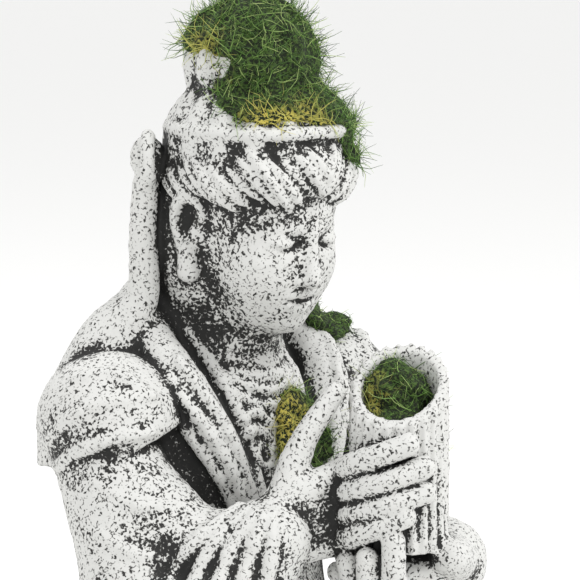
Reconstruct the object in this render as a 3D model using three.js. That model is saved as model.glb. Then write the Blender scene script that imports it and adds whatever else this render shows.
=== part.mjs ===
// A seated bodhisattva, cast in one piece with its low oval base, for standing in an aquarium.
// It holds a fluted cup in both hands, and moss grows on its head, its chest, its shoulder and in the cup.
//
// Sizes are in millimetres. +Z is up, the figure faces -Y, and the origin is under the middle of the base.
// The figure is modelled like clay: rounded lumps and strands are pressed together in a grid of distances
// to the surface, and the surface is then taken off the grid and thinned out to few triangles.

import * as THREE from "three";

// Driving sizes.
const base = { halfWidth: 58, halfDepth: 49, height: 12, stepHeight: 5.5, step: 2.5 };
const spineY = 12; // the spine stands this far behind the middle of the base
const shoulder = { side: 29, height: 99, radius: 11.5 };
const elbow = { side: 36, forward: 21, height: 54 };
const head = { forward: 13, height: 137, pitch: THREE.MathUtils.degToRad(13) };
const hairRoll = { halfWidth: 14.2, halfDepth: 15.2, height: 147.6, thick: 4.2, tall: 5.6 };
const crownRim = { halfWidth: 17.2, halfDepth: 17.4, height: 156, thick: 1.3, tall: 1.4 };
const topknot = { forward: 11, height: 168, radius: 13 };
const cup = { side: 5, forward: 47, bottom: 76, radius: 9.4, wall: 2, floor: 92, flutes: 24 };
const fingerRadius = 2.55;

// The grid's cell, and the number of triangles that the figure is thinned to.
const cell = 0.7;
const figureTriangles = 8750;

// A point given from the figure's own side: to its left, forward of its spine, and up.
const at = (side, forward, up) => new THREE.Vector3(side, spineY - forward, up);

// A point in the head, which is bowed: to its left, forward and up from its centre.
const headTurn = new THREE.Quaternion().setFromAxisAngle(new THREE.Vector3(1, 0, 0), head.pitch);
const headCentre = at(0, head.forward, head.height);
const inHead = (side, forward, up) =>
  new THREE.Vector3(side, -forward, up).applyQuaternion(headTurn).add(headCentre);

const bothSides = (sculpt) => [-1, 1].forEach(sculpt);
const mix = THREE.MathUtils.lerp;

// How far the bottom of a rounded crease between two surfaces is lifted.
function soften(a, b, blend) {
  const near = Math.max(blend - Math.abs(a - b), 0);
  return (near * near) / (4 * blend);
}

// A grid of distances to a surface, negative inside it.
class Clay {
  constructor(low, high) {
    this.low = low;
    this.size = high.clone().sub(low).divideScalar(cell).ceil().addScalar(1);
    this.steps = [1, this.size.x, this.size.x * this.size.y];
    this.value = new Float32Array(this.size.x * this.size.y * this.size.z).fill(50);
  }

  // Calls visit(index, x, y, z) at each grid point in a box.
  visit(box, visit) {
    const { low, size, steps } = this;
    const from = box.min.clone().sub(low).divideScalar(cell).floor().max(new THREE.Vector3());
    const to = box.max.clone().sub(low).divideScalar(cell).ceil().min(size.clone().subScalar(1));
    for (let k = from.z; k <= to.z; k++)
      for (let j = from.y; j <= to.y; j++)
        for (let i = from.x; i <= to.x; i++) {
          const n = i + j * steps[1] + k * steps[2];
          visit(n, low.x + i * cell, low.y + j * cell, low.z + k * cell);
        }
  }

  add(shape, blend = 0.2) {
    this.visit(shape.box.clone().expandByScalar(blend + 4), (n, x, y, z) => {
      const old = this.value[n];
      const made = shape.distance(x, y, z);
      this.value[n] = Math.min(old, made) - soften(old, made, blend);
    });
  }

  carve(shape, blend = 0.2) {
    this.visit(shape.box.clone().expandByScalar(blend + 2), (n, x, y, z) => {
      const old = this.value[n];
      const cut = -shape.distance(x, y, z);
      this.value[n] = Math.max(old, cut) + soften(old, cut, blend);
    });
  }

  // The distance at any point, between the grid's own points.
  at(point) {
    const { low, steps, value } = this;
    const [x, y, z] = [point.x - low.x, point.y - low.y, point.z - low.z].map((d) => d / cell);
    const [i, j, k] = [x, y, z].map(Math.floor);
    const n = i + j * steps[1] + k * steps[2];
    const along = (m) => mix(value[m], value[m + 1], x - i);
    const across = (m) => mix(along(m), along(m + steps[1]), y - j);
    return mix(across(n), across(n + steps[2]), z - k);
  }

  // Where the surface is first met by looking level at the spine from an azimuth: 0 is from the front, and
  // -45 from the figure's front right. The place in that view is given across and up, from the spine.
  seen(azimuth, across, up, sunk = 0) {
    const turn = THREE.MathUtils.degToRad(azimuth);
    const towards = new THREE.Vector3(Math.sin(turn), -Math.cos(turn), 0);
    const right = new THREE.Vector3(Math.cos(turn), Math.sin(turn), 0);
    const middle = at(0, 0, up).addScaledVector(right, across);
    const high = this.low.clone().addScaledVector(this.size, cell);
    const grid = new THREE.Box3(this.low.clone(), high).expandByScalar(-2 * cell);
    for (let near = 70; near > -50; near -= cell / 2) {
      const point = middle.clone().addScaledVector(towards, near);
      if (!grid.containsPoint(point)) continue;
      const distance = this.at(point);
      if (distance < 0) return point.addScaledVector(towards, distance - sunk);
    }
    return middle;
  }
}

// An ellipsoid with radii to its side, forward and up.
function lump(centre, [side, forward, up], turn = new THREE.Quaternion()) {
  const back = new THREE.Matrix4().compose(centre, turn, new THREE.Vector3(1, 1, 1)).invert();
  const reach = Math.max(side, forward, up);
  const p = new THREE.Vector3();
  return {
    box: new THREE.Box3(centre.clone().subScalar(reach), centre.clone().addScalar(reach)),
    distance(x, y, z) {
      p.set(x, y, z).applyMatrix4(back);
      const near = Math.hypot(p.x / side, p.y / forward, p.z / up);
      const slope = Math.hypot(p.x / side ** 2, p.y / forward ** 2, p.z / up ** 2);
      return slope > 0 ? (near * (near - 1)) / slope : -Math.min(side, forward, up);
    },
  };
}

// A round strand through all of its points, with a radius at each of a few places spread evenly along it.
function strandThrough(points, radii) {
  const last = points.length - 1;
  const radiusAt = (n) => {
    const place = (n / last) * (radii.length - 1);
    const before = Math.min(Math.floor(place), radii.length - 2);
    return radii.length > 1 ? mix(radii[before], radii[before + 1], place - before) : radii[0];
  };
  const parts = points.slice(1).map((end, n) => {
    const start = points[n];
    const along = end.clone().sub(start);
    const radius = radiusAt(n);
    return { start, along, length2: along.lengthSq() || 1e-9, radius, more: radiusAt(n + 1) - radius };
  });
  const distance = (x, y, z) => {
    let nearest = Infinity;
    for (const { start, along, length2, radius, more } of parts) {
      const px = x - start.x;
      const py = y - start.y;
      const pz = z - start.z;
      const t = Math.min(Math.max((px * along.x + py * along.y + pz * along.z) / length2, 0), 1);
      const away = (px - t * along.x) ** 2 + (py - t * along.y) ** 2 + (pz - t * along.z) ** 2;
      nearest = Math.min(nearest, Math.sqrt(away) - radius - t * more);
    }
    return nearest;
  };
  return { box: new THREE.Box3().setFromPoints(points).expandByScalar(Math.max(...radii)), distance };
}

// A strand along a smooth curve through a few points.
function strand(points, radii) {
  const curve = new THREE.CatmullRomCurve3(points, false, "centripetal");
  return strandThrough(curve.getPoints(points.length > 2 ? 5 * (points.length - 1) : 1), radii);
}

// A strand that lies on the clay, drawn as it is seen from an azimuth. Each place is [across, up].
function drawn(clay, azimuth, places, radii, sunk = 0.3) {
  const line = new THREE.SplineCurve(places.map(([across, up]) => new THREE.Vector2(across, up)));
  const points = line.getPoints(7 * (places.length - 1));
  return strandThrough(points.map((p) => clay.seen(azimuth, p.x, p.y, sunk)), radii);
}

// Places spread between two drawn lines, for each of a number of folds.
const between = (first, last, share) =>
  first.map(([across, up], n) => [mix(across, last[n][0], share), mix(up, last[n][1], share)]);

// The same line seen in a mirror: from the other side, and the other way across.
const mirrored = (side, places) => places.map(([across, up]) => [-side * across, up]);

// An oval slab with rounded edges.
function ovalSlab(centre, halfWidth, halfDepth, low, high, edge) {
  const half = (high - low) / 2;
  return {
    box: new THREE.Box3(
      new THREE.Vector3(centre.x - halfWidth, centre.y - halfDepth, low),
      new THREE.Vector3(centre.x + halfWidth, centre.y + halfDepth, high),
    ),
    distance(x, y, z) {
      const [px, py] = [x - centre.x, y - centre.y];
      const near = Math.hypot(px / halfWidth, py / halfDepth);
      const slope = Math.hypot(px / halfWidth ** 2, py / halfDepth ** 2) || 1e-9;
      const out = Math.max((near * (near - 1)) / slope, -halfDepth) + edge;
      const over = Math.abs(z - (low + high) / 2) - half + edge;
      return Math.min(Math.max(out, over), 0) + Math.hypot(Math.max(out, 0), Math.max(over, 0)) - edge;
    },
  };
}

// A level ring round the head, which may be twisted like a rope from the middle of the brow to each side.
const untwisted = { locks: 0, bulge: 0, strands: 0, groove: 0 };

function ring({ halfWidth, halfDepth, height, thick, tall }, { locks, bulge, strands, groove } = untwisted) {
  const reach = Math.max(halfWidth, halfDepth) + thick + 1;
  const centre = at(0, head.forward, height);
  return {
    box: new THREE.Box3().setFromCenterAndSize(centre, new THREE.Vector3(2 * reach, 2 * reach, 2 * tall + 3)),
    distance(x, y, z) {
      const [px, py] = [x - centre.x, y - centre.y];
      const round = Math.atan2(px / halfWidth, -py / halfDepth);
      const rope = Math.hypot(halfWidth * Math.sin(round), halfDepth * Math.cos(round));
      const out = Math.hypot(px, py) - rope;
      const over = ((z - height) * thick) / tall;
      const turned = 2 * Math.atan2(over, out) - locks * Math.abs(round);
      return Math.hypot(out, over) - thick - bulge * Math.cos(turned) - groove * Math.cos(strands * turned);
    },
  };
}

// A shape cut off below a sloping hem.
function hemmed(shape, heightAt) {
  const distance = (x, y, z) => Math.max(shape.distance(x, y, z), heightAt(Math.abs(x), spineY - y) - z);
  return { box: shape.box, distance };
}

function sculptBase(clay) {
  const { halfWidth, halfDepth, height, stepHeight, step } = base;
  const middle = new THREE.Vector3();
  clay.add(ovalSlab(middle, halfWidth, halfDepth, -5, stepHeight, 1.6));
  clay.add(ovalSlab(middle, halfWidth - step, halfDepth - step, -5, height, 2.2), 1);
}

function sculptLegs(clay) {
  const foldsOnShin = 4;
  const foldsInFront = 3;
  clay.add(lump(at(0, 14, 14), [47, 25, 7]), 3); // the robe spread on the base
  clay.add(lump(at(0, 8, 27), [28, 24, 15]), 4);
  bothSides((side) => {
    const knee = at(side * 41, 24, 22.5);
    clay.add(strand([at(side * 12, 2, 27), at(side * 30, 14, 26), knee], [15, 13.5, 11.5]), 6);
    clay.add(strand([knee, at(side * 22, 35, 21), at(side * -3, 36, 19)], [11, 9, 7]), 5);
    for (let n = 0; n < foldsOnShin; n++) {
      const line = [[3, 33 - 5 * n], [16, 34 - 6 * n], [30, 30 - 5 * n], [44, 30 - 4 * n]];
      clay.add(drawn(clay, 0, mirrored(-side, line), [0.5, 1.5, 1.3, 0.5]), 1.6);
    }
    for (let n = 0; n < foldsInFront; n++) {
      const line = [[4 + 2 * n, 24], [7 + 7 * n, 17], [9 + 10 * n, 12.5]];
      clay.add(drawn(clay, 0, mirrored(-side, line), [1, 1.7, 1.4]), 1.2);
    }
  });
  clay.add(strand([at(0, 24, 46), at(0, 36, 30), at(0, 42, 14)], [4, 4.6, 7]), 3); // the sash down the front
}

function sculptTorso(clay) {
  const { side, height, radius } = shoulder;
  clay.add(lump(at(0, -1, 30), [27, 20, 17]), 5);
  clay.add(lump(at(0, 2, 54), [26, 18, 24]), 8);
  clay.add(lump(at(0, 2, 84), [28, 18, 26]), 8);
  clay.add(strand([at(-side, -3, height), at(side, -3, height)], [radius]), 8);
  clay.add(strand([at(0, 4, 98), at(0, 8, 122)], [11, 8.6]), 4);
  clay.add(lump(at(0, 11, 99), [13, 6.6, 11]), 3); // the bared chest between the collar folds
  for (const up of [106.5, 109.3]) {
    const line = [-7, -3.5, 0, 3.5, 7].map((across) => [across, up + across * across * 0.03]);
    clay.add(drawn(clay, 0, line, [0.7, 1.1, 0.7]), 0.8);
  }
}

// The mantle over the head and shoulders and down the back, and the cape over its front edge.
function sculptMantle(clay) {
  const backFolds = 3;
  clay.add(lump(at(0, -5, 110), [23, 12, 17]), 6);
  clay.add(lump(at(0, -9, 80), [22, 11, 38]), 6);
  clay.add(lump(at(0, -8, 36), [30, 13, 22]), 8);
  bothSides((side) => {
    const over = [[14, -5, 119], [22, -5, 112], [28, -7, 99], [28, -8, 84]];
    const fold = strand(over.map(([x, forward, up]) => at(side * x, forward, up)), [6, 8, 8.8, 9]);
    clay.add(hemmed(fold, (x, forward) => 91 + 0.1 * forward), 0.4);
    for (let n = 0; n < backFolds; n++) {
      const line = [[4 + 5 * n, 106 - 3 * n], [6 + 9 * n, 70], [8 + 9 * n, 30]];
      clay.add(drawn(clay, 180, mirrored(side, line), [0.6, 1.8, 1.6]), 1.6);
    }
    clay.add(strand([at(side * 15, -6, 90), at(side * 17, -6, 62), at(side * 21, -3, 34)], [8, 8.6, 10]), 3);
  });
}

// The collar of the robe: a thick band from the back of the neck to the waist, with folds along it.
function sculptCollar(clay) {
  const outside = [[-9.6, 104.5], [-3.6, 97], [1.5, 89.5], [5.4, 81]];
  const inside = [[-4.6, 115.5], [1.4, 107.5], [6.4, 97.5], [9.8, 85]];
  const folds = 4;
  bothSides((side) => {
    const band = [[15, -4, 118], [19, 5, 112], [18.4, 12, 105], [15, 15.6, 96], [9.5, 17.5, 84], [5, 18, 74]];
    clay.add(strand(band.map(([x, forward, up]) => at(side * x, forward, up)), [4, 4.6, 4.6, 4]), 2);
    for (let n = 0; n < folds; n++) {
      const line = between(outside, inside, n / (folds - 1));
      clay.add(drawn(clay, side * 45, mirrored(side, line), [1.2, 1.5, 1.3], 0.1), 0.5);
    }
  });
}

function sculptUpperArms(clay) {
  const ridges = [
    [[-26, 109], [-18, 110], [-10, 105]],
    [[-31, 97], [-26.4, 102], [-18.4, 105.5], [-11, 106]],
  ];
  bothSides((side) => {
    const end = at(side * elbow.side, elbow.forward, elbow.height);
    clay.add(strand([at(side * 31, 1, 97), at(side * 33, 9.5, 80), end], [10.6, 10.2, 11]), 2);
    const cape = lump(at(side * 29, 1.5, 100), [14.3, 14.6, 13]);
    clay.add(hemmed(cape, (x, forward) => 102.2 + 0.32 * (forward - x)), 0.4);
    clay.add(lump(at(side * 33, -4, 90), [4.2, 4.6, 3.2]), 0.8); // where the hem turns back
    for (const ridge of ridges) clay.add(drawn(clay, side * 45, mirrored(side, ridge), [0.9, 1.5, 0.9]), 1);
    const hem = [[-29, 92], [-25, 95.6], [-18.4, 98.4], [-11, 99.2]];
    clay.add(drawn(clay, side * 45, mirrored(side, hem), [1.6, 1.7, 1], 0), 0.8);
  });
}

function sculptNecklace(clay) {
  for (const low of [101, 104]) {
    const line = [-9, -6, -3, 0, 3, 6, 9].map((across) => [across, low + across * across * 0.04]);
    clay.add(drawn(clay, 0, line, [1.1]), 0.2);
  }
  bothSides((side) => {
    const curl = [[0.8, 98.6], [1.2, 94], [3.6, 89.4], [6.4, 91.2], [5, 93.8]];
    const petals = [[[1.4, 97.4], [5, 100], [9.4, 98.4]], [[2.4, 95.6], [6.4, 97], [9.6, 94.6]]];
    clay.add(drawn(clay, 0, mirrored(-side, curl), [1.1]), 0.2);
    for (const petal of petals) clay.add(drawn(clay, 0, mirrored(-side, petal), [1, 1.5, 0.9]), 0.2);
  });
}

function sculptHead(clay) {
  const part = (place, radii, blend) => clay.add(lump(inHead(...place), radii, headTurn), blend);
  part([0, -2, 6], [14.4, 17, 16], 1);
  part([0, 4.5, -4.5], [12.4, 11.2, 14.6], 4);
  part([0, 8, -13], [7.2, 6.4, 5.4], 5);
  bothSides((side) => part([side * 6.4, 8.6, -6.2], [5.2, 5.4, 6], 4));
  clay.add(lump(at(0, 3, 136), [16.6, 12.5, 24]), 3); // the veil behind the head
  sculptFace(clay);
  bothSides((side) => sculptEar(clay, side));
}

function sculptFace(clay) {
  const line = (places, radii) => strand(places.map((p) => inHead(...p)), radii);
  clay.add(line([[0, 14, 4.4], [0, 16, -3.2], [0, 17.2, -6.2]], [1, 1.4, 1.9]), 1.6); // the nose
  bothSides((side) => {
    const brow = [[2, 139.6], [6, 141.2], [10.6, 139.4]];
    const lashes = [[2.4, 134.4], [5.8, 133], [9.2, 134]];
    clay.carve(lump(inHead(side * 6, 16.6, 0.8), [4, 3.2, 2.1], headTurn), 1.8); // the eye socket
    clay.add(lump(inHead(side * 5.8, 11.7, -0.2), [3.8, 3.2, 2.5], headTurn), 0.5); // the lowered lid
    clay.add(drawn(clay, 0, mirrored(-side, brow), [0.7, 1, 0.6], 0.5), 0.8);
    clay.carve(drawn(clay, 0, mirrored(-side, lashes), [0.4, 0.7, 0.4], 0), 0.3);
    clay.add(lump(inHead(side * 1.9, 15.2, -6.8), [1.3, 1.5, 1.2], headTurn), 0.7); // a wing of the nose
  });
  const upperLip = [[-3.8, 123.3], [-1.3, 124.5], [0, 124.1], [1.3, 124.5], [3.8, 123.3]];
  clay.add(drawn(clay, 0, upperLip, [0.6, 1.1, 0.6]), 0.4);
  clay.add(drawn(clay, 0, [[-3, 121.8], [0, 121], [3, 121.8]], [0.7, 1.3, 0.7]), 0.4);
  clay.carve(drawn(clay, 0, [[-4, 123], [0, 122.6], [4, 123]], [0.4, 0.5, 0.4], 0), 0.2);
  clay.add(lump(inHead(0, 12, -16), [3.4, 2.8, 2.6], headTurn), 2); // the chin
}

// A long ear: a curled rim round a hollow, and a lobe that hangs beside the jaw.
function sculptEar(clay, side) {
  const line = (places, radii) => strand(places.map(([x, f, up]) => inHead(side * x, f, up)), radii);
  const rim = [[14.2, -1, 1.6], [15.4, -2.4, 5], [16.2, -5.8, 4.4], [16, -6.8, 0], [15.2, -4.6, -5]];
  clay.add(lump(inHead(side * 13.6, -4.2, -0.6), [1.9, 3.4, 6], headTurn), 1);
  clay.add(line(rim, [0.9, 1.2, 1.3, 1.2, 1.3]), 0.5);
  clay.add(line([[14.8, -3.6, -5], [14.4, -2.6, -9.6]], [1.9, 2.3]), 0.8);
  clay.carve(lump(inHead(side * 16.6, -4, 0.8), [2.1, 1.9, 3], headTurn), 0.5);
}

// A shape with grooves combed down it from its crown.
function combed(shape, centre, strands, depth) {
  const groove = (x, y) => depth * Math.cos(strands * Math.atan2(y - centre.y, x - centre.x));
  return { box: shape.box, distance: (x, y, z) => shape.distance(x, y, z) - groove(x, y) };
}

function sculptHair(clay) {
  const { forward, height, radius } = topknot;
  const crown = at(0, head.forward - 0.6, 153);
  const knot = at(0, forward, height);
  clay.add(combed(lump(crown, [18, 18, 14.5]), crown, 16, 0.35), 0.4);
  clay.add(ring(crownRim), 0.6);
  clay.add(ring(hairRoll, { locks: 9, bulge: 0.75, strands: 4, groove: 0.35 }), 0.3);
  clay.add(combed(lump(knot, [radius, radius, radius * 0.98]), knot, 12, 0.45), 1.5);
}

// The veil: folds down the back of the head, and over each ear a knot with a loop, from which it falls.
function sculptVeil(clay) {
  bothSides((side) => {
    for (const line of [[[2, 154], [4, 136], [8, 118]], [[8, 152], [11, 134], [16, 117]]])
      clay.add(drawn(clay, 180, mirrored(side, line), [0.8, 1.6, 1.2]), 1.2);
    const fall = [[18.6, 0.6, 145], [19, 0.4, 134], [19.4, 0, 122], [25, -4, 111]];
    clay.add(strand(fall.map(([x, forward, up]) => at(side * x, forward, up)), [2.7, 2.8, 3.2, 6]), 1.2);
    clay.add(lump(at(side * 17.4, 0, 150), [3.2, 3.8, 4.6]), 1);
    const loop = [0, 1, 2, 3, 4, 5, 6, 7, 8].map((n) => {
      const turn = (n * Math.PI) / 4;
      const wide = (2.1 + 0.4 * Math.cos(turn)) * Math.sin(turn);
      return at(side * (18.8 + wide), 1.6 + wide, 150 - 4.6 * Math.cos(turn));
    });
    clay.add(strand(loop, [1.5]), 0.3);
  });
}

// The forearms in their sleeves, which hang to the lap.
function sculptSleeves(clay) {
  const { side: out, forward, height } = elbow;
  const folds = 5;
  const wrists = [
    { side: -1, cuff: at(-17.5, 34, 79), fall: at(-25, 31, 52) },
    { side: 1, cuff: at(24, 42, 70), fall: at(27, 34, 48) },
  ];
  const creases = [
    [[-22, 90], [-14, 86], [-6, 86]],
    [[-24, 82], [-14, 77], [-7, 76]],
    [[-22, 70], [-14, 67], [-9, 71]],
  ];
  wrists.forEach(({ side, cuff, fall }) => {
    clay.add(strand([at(side * out, forward, height), cuff], [11.4, 6.8]), 3);
    clay.add(strand([at(side * 31, 9, 86), at(side * 26, 23, 77), cuff], [9.6, 8, 6.6]), 3);
    clay.add(strand([cuff, fall, at(side * 31, 29, 36)], [6, 7, 8.6]), 5);
    for (const line of creases)
      clay.add(drawn(clay, side * 45, mirrored(side, line), [0.6, 1.4, 0.6]), 1);
  });
  for (let n = 0; n < folds; n++) {
    const first = [[6, 85.5], [-3, 79], [-9, 68], [-14, 54]];
    const last = [[12.4, 85], [12, 78], [9.5, 66], [5, 50]];
    clay.add(drawn(clay, -45, between(first, last, n / (folds - 1)), [1, 1.6, 1.7, 1], 0.2), 0.6);
    const other = [[[32, 64], [34, 54], [36, 42]], [[21.5, 63], [21, 54], [23, 42]]];
    clay.add(drawn(clay, 0, between(...other, n / (folds - 1)), [0.9, 1.5, 1]), 0.8);
  }
}

// A point on the cup, by its angle from the front towards the figure's right, its height, and how far out.
function roundCup(degrees, up, out) {
  const turn = THREE.MathUtils.degToRad(degrees);
  const radius = cup.radius + out;
  return at(cup.side - radius * Math.sin(turn), cup.forward + radius * Math.cos(turn), up);
}

const cupRim = (side, forward) => 108 + 0.6 * (side - cup.side) - 0.4 * (forward - cup.forward);

function cupShape({ radius, low, flutes, depth, cut }) {
  const middle = at(cup.side, cup.forward, 0);
  const reach = radius + depth;
  return {
    box: new THREE.Box3().setFromPoints([
      at(cup.side - reach, cup.forward - reach, low),
      at(cup.side + reach, cup.forward + reach, low + 45),
    ]),
    distance(x, y, z) {
      const [dx, dy] = [x - middle.x, y - middle.y];
      const flute = depth * Math.abs(Math.cos((flutes / 2) * Math.atan2(dy, dx)));
      const out = Math.hypot(dx, dy) - radius - flute;
      return Math.max(out, low - z, cut ? (z - cupRim(x, spineY - y)) * 0.81 : -1);
    },
  };
}

function sculptCup(clay) {
  const { radius, bottom, floor, wall, flutes } = cup;
  clay.add(cupShape({ radius: radius - 0.6, low: bottom, flutes, depth: 0.9, cut: true }), 0.2);
  clay.carve(cupShape({ radius: radius - wall, low: floor, flutes: 0, depth: 0, cut: false }), 0.3);
}

function sculptHands(clay) {
  // The right hand: its back and thumb beside the cup, and four fingers round the near side of it.
  const fingers = [
    { knuckle: 91.3, tip: 98.2, reach: 38, wrist: 84 },
    { knuckle: 86.7, tip: 93.4, reach: 23, wrist: 81.5 },
    { knuckle: 82.2, tip: 88.7, reach: 21, wrist: 79 },
    { knuckle: 77.8, tip: 84.2, reach: 41, wrist: 76.5 },
  ];
  fingers.forEach(({ knuckle, tip, reach, wrist }) => {
    const bend = [0, 1 / 3, 2 / 3, 1].map((along) =>
      roundCup(mix(122, reach, along), mix(knuckle, tip, along), fingerRadius - 0.5),
    );
    clay.add(strand([at(-16, 34, wrist), at(-10.5, 37.2, mix(wrist, knuckle, 0.5)), bend[0]], [4, 3.6, 2.7]), 1);
    clay.add(strand(bend, [fingerRadius + 0.2, fingerRadius, fingerRadius - 0.3]), 0.15);
  });
  clay.add(strand([at(-13.5, 33.6, 86), at(-9.6, 35.6, 97.5), at(-4.2, 38.6, 106.5)], [3.6, 2.6, 2]), 1.5);
  // The left hand, palm up, under the cup: fingertips curl up beside the foot of the cup, thumb in front.
  clay.add(lump(at(11, 46, 71.5), [11, 8.6, 4.6]), 2);
  clay.add(strand([at(24, 42, 70), at(15, 52.4, 73), at(9.6, 56.6, 74.6)], [5.6, 4.4, 3.7]), 2);
  const tips = [[132, 71], [105, 74.2], [78, 75.6], [52, 79.4]];
  for (const [degrees, up] of tips) {
    const bend = [roundCup(degrees, 70, -5), roundCup(degrees, 70, 0.6), roundCup(degrees, up, 2.2)];
    clay.add(strand(bend, [2.8, 2.6, 2.3]), 0.3);
  }
}

// Keeps the underside flat on the ground.
function cutFoot(clay) {
  const below = new THREE.Box3(clay.low.clone(), clay.low.clone().addScalar(1e3));
  clay.visit(below, (n, x, y, z) => (clay.value[n] = Math.max(clay.value[n], -z)));
}

function sculptFigure() {
  const reach = new THREE.Vector3(base.halfWidth + 3, base.halfDepth + 3, 0);
  const clay = new Clay(new THREE.Vector3(-reach.x, -reach.y, -2 * cell), reach.setZ(topknot.height + 20));
  sculptBase(clay);
  sculptLegs(clay);
  sculptTorso(clay);
  sculptMantle(clay);
  sculptCollar(clay);
  sculptNecklace(clay);
  sculptHead(clay);
  sculptHair(clay);
  sculptVeil(clay);
  sculptUpperArms(clay);
  sculptSleeves(clay);
  sculptCup(clay);
  sculptHands(clay);
  cutFoot(clay);
  return clay;
}

// Moss lies on the figure wherever one of its patches reaches.
function growMoss(figure, { patches, thickness, gap }) {
  const high = figure.low.clone().addScaledVector(figure.size.clone().subScalar(1), cell);
  const moss = new Clay(figure.low, high);
  patches.forEach((patch) => moss.add(patch, 2));
  const box = patches.reduce((all, patch) => all.union(patch.box), new THREE.Box3()).expandByScalar(4);
  moss.visit(box, (n, x, y, z) => {
    const lumpy = thickness + 0.6 * Math.sin(x * 0.9) * Math.sin(y * 0.8 + 1) * Math.sin(z * 0.7 + 2);
    moss.value[n] = Math.max(moss.value[n], figure.value[n] - lumpy, gap - figure.value[n]);
  });
  return moss;
}

// Fills grid points until no two parts of the surface only touch, so that it is one closed skin.
function mendTouching({ value, steps }) {
  const axes = [[0, 1], [0, 2], [1, 2]];
  const [x, y, z] = steps;
  const cube = [0, x, y, x + y, z, x + z, y + z, x + y + z];
  for (let changed = true; changed; ) {
    changed = false;
    for (let n = 0; n < value.length - x - y - z; n++) {
      if (Math.abs(value[n]) > 3 * cell) continue;
      for (const [a, b] of axes) {
        const square = [n, n + steps[a], n + steps[a] + steps[b], n + steps[b]];
        const [p, q, r, s] = square.map((m) => value[m] < 0);
        if (p !== r || q !== s || p === q) continue;
        value[p ? square[1] : square[0]] = -0.05;
        changed = true;
      }
      const solid = cube.filter((step) => value[n + step] < 0);
      if (solid.length !== 2 && solid.length !== 6) continue;
      const odd = solid.length === 2 ? solid : cube.filter((step) => value[n + step] >= 0);
      if (odd[0] + odd[1] !== cube[7]) continue;
      value[n + (solid.length === 2 ? cube.find((step) => !solid.includes(step)) : odd[0])] = -0.05;
      changed = true;
    }
  }
}

// The surface of the clay, as one vertex in each grid cell that it passes through and a square between
// each four of them.
function takeSurface(clay) {
  mendTouching(clay);
  const { value, size, steps, low } = clay;
  const corners = Array.from({ length: 8 }, (_, c) => [c & 1, (c >> 1) & 1, (c >> 2) & 1]);
  const edges = [];
  for (let a = 0; a < 8; a++) for (const b of [a | 1, a | 2, a | 4]) if (b !== a) edges.push([a, b]);
  const vertexOf = new Int32Array(value.length).fill(-1);
  const points = [];
  for (let k = 0; k < size.z - 1; k++)
    for (let j = 0; j < size.y - 1; j++)
      for (let i = 0; i < size.x - 1; i++) {
        const n = i + j * steps[1] + k * steps[2];
        if (Math.abs(value[n]) > 3 * cell) continue;
        const here = corners.map(([x, y, z]) => value[n + x * steps[0] + y * steps[1] + z * steps[2]]);
        const solid = here.filter((v) => v < 0).length;
        if (solid === 0 || solid === 8) continue;
        const sum = [0, 0, 0];
        let crossings = 0;
        for (const [a, b] of edges) {
          if (here[a] < 0 === here[b] < 0) continue;
          const t = here[a] / (here[a] - here[b]);
          for (let axis = 0; axis < 3; axis++) sum[axis] += mix(corners[a][axis], corners[b][axis], t);
          crossings++;
        }
        vertexOf[n] = points.length;
        const middle = sum.map((total, axis) => [i, j, k][axis] + total / crossings);
        const [x, y, z] = middle.map((place, axis) => low.getComponent(axis) + cell * place);
        points.push([x, y, Math.abs(z) < cell / 2 ? 0 : z]);
      }
  const triangles = [];
  for (let n = 0; n < value.length - steps[2]; n++)
    for (let axis = 0; axis < 3; axis++) {
      const inside = value[n] < 0;
      if (inside === value[n + steps[axis]] < 0) continue;
      const [u, v] = [steps[(axis + 1) % 3], steps[(axis + 2) % 3]];
      const ring = [n, n - u, n - u - v, n - v].map((m) => vertexOf[m]);
      if (!inside) ring.reverse();
      const [a, b, c, d] = ring;
      const length = (p, q) => Math.hypot(...points[p].map((value, axis) => value - points[q][axis]));
      if (length(a, c) < length(b, d)) triangles.push([a, b, c], [a, c, d]);
      else triangles.push([a, b, d], [b, c, d]);
    }
  return largestPiece(points, triangles);
}

// Leaves out crumbs that touch nothing, and closed bubbles inside.
function largestPiece(points, triangles) {
  const leader = points.map((_, n) => n);
  const find = (n) => {
    while (leader[n] !== n) n = leader[n] = leader[leader[n]];
    return n;
  };
  triangles.forEach(([a, b, c]) => {
    leader[find(a)] = find(b);
    leader[find(b)] = find(c);
  });
  const sizes = new Map();
  triangles.forEach(([a]) => sizes.set(find(a), (sizes.get(find(a)) || 0) + 1));
  const largest = [...sizes].reduce((best, next) => (next[1] > best[1] ? next : best))[0];
  return { points, triangles: triangles.filter(([a]) => find(a) === largest) };
}

// A heap that gives back the edge with the least cost first.
class EdgeHeap {
  edges = [];

  push(edge) {
    const { edges } = this;
    let n = edges.push(edge) - 1;
    while (n > 0 && edges[(n - 1) >> 1].cost > edges[n].cost) {
      const up = (n - 1) >> 1;
      [edges[n], edges[up]] = [edges[up], edges[n]];
      n = up;
    }
  }

  pop() {
    const { edges } = this;
    const top = edges[0];
    const last = edges.pop();
    if (edges.length) {
      edges[0] = last;
      for (let n = 0; ; ) {
        let least = n;
        for (const m of [2 * n + 1, 2 * n + 2])
          if (m < edges.length && edges[m].cost < edges[least].cost) least = m;
        if (least === n) break;
        [edges[n], edges[least]] = [edges[least], edges[n]];
        n = least;
      }
    }
    return top;
  }
}

const subtract = (a, b) => [a[0] - b[0], a[1] - b[1], a[2] - b[2]];
const cross = (a, b) => [a[1] * b[2] - a[2] * b[1], a[2] * b[0] - a[0] * b[2], a[0] * b[1] - a[1] * b[0]];
const dot = (a, b) => a[0] * b[0] + a[1] * b[1] + a[2] * b[2];

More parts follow.
